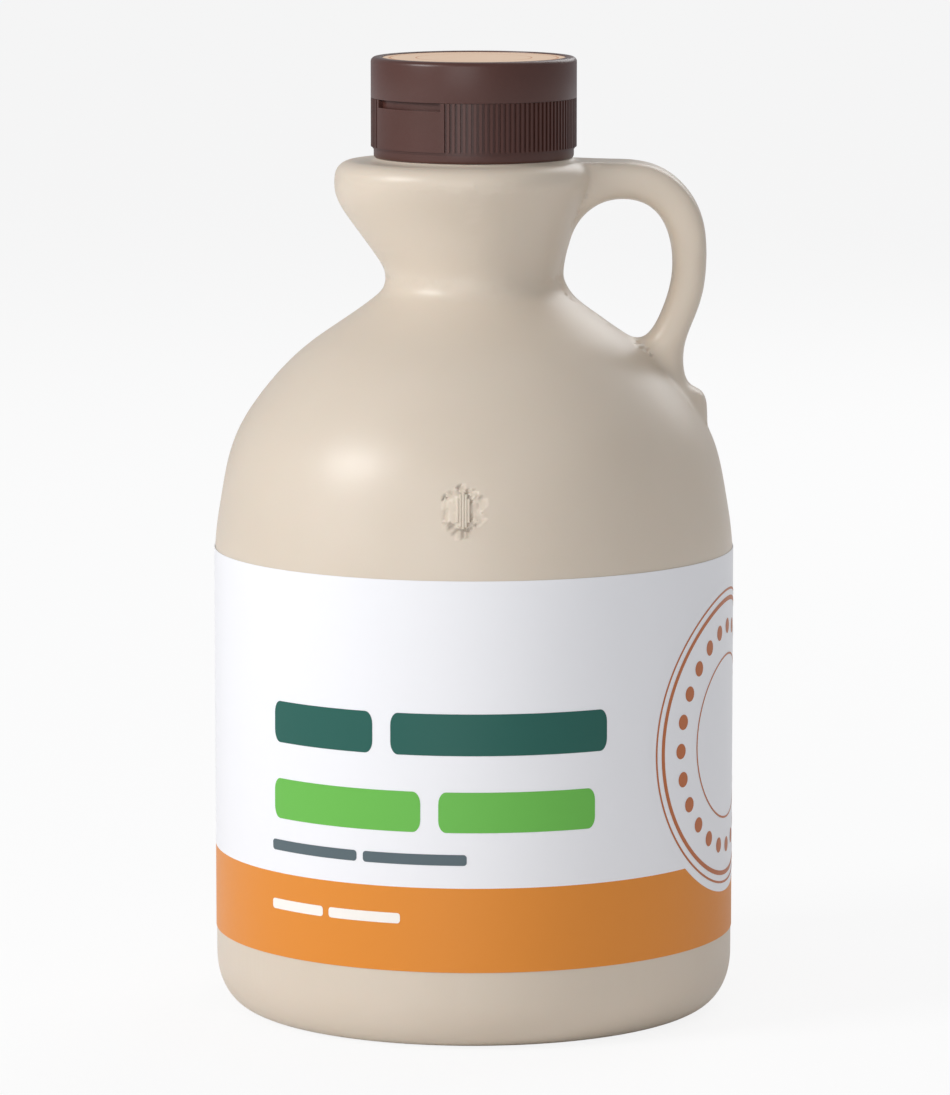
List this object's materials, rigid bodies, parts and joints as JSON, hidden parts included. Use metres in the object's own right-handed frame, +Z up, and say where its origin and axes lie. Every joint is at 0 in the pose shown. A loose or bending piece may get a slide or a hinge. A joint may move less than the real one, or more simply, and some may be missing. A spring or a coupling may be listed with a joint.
{
  "type": "maple syrup jug",
  "caption": "Blow-moulded syrup jug with a domed shoulder, flared collar, loop handle, wrap label and a brown tamper-evident screw cap.",
  "frame": {"origin": "middle of the base, on the bottle's axis, where the jug stands", "axes": "+Z up the bottle's axis; +X towards the handle; -Y towards the front of the label"},
  "size_m": [0.102, 0.102, 0.1865],
  "materials": {
    "bottle_plastic": "satin blow-moulded polyethylene, warm beige",
    "label_film": "white film label, satin, with an orange band at its foot",
    "cap_plastic": "dark brown moulded polypropylene, satin",
    "seal_paper": "pale peach printed disc"
  },
  "bodies": {
    "root": {"bottle": "bottle_plastic", "label": "label_film", "tamper_band": "cap_plastic", "cap_skirt": "cap_plastic", "lid": "cap_plastic", "seal": "seal_paper"}
  },
  "joints": []
}
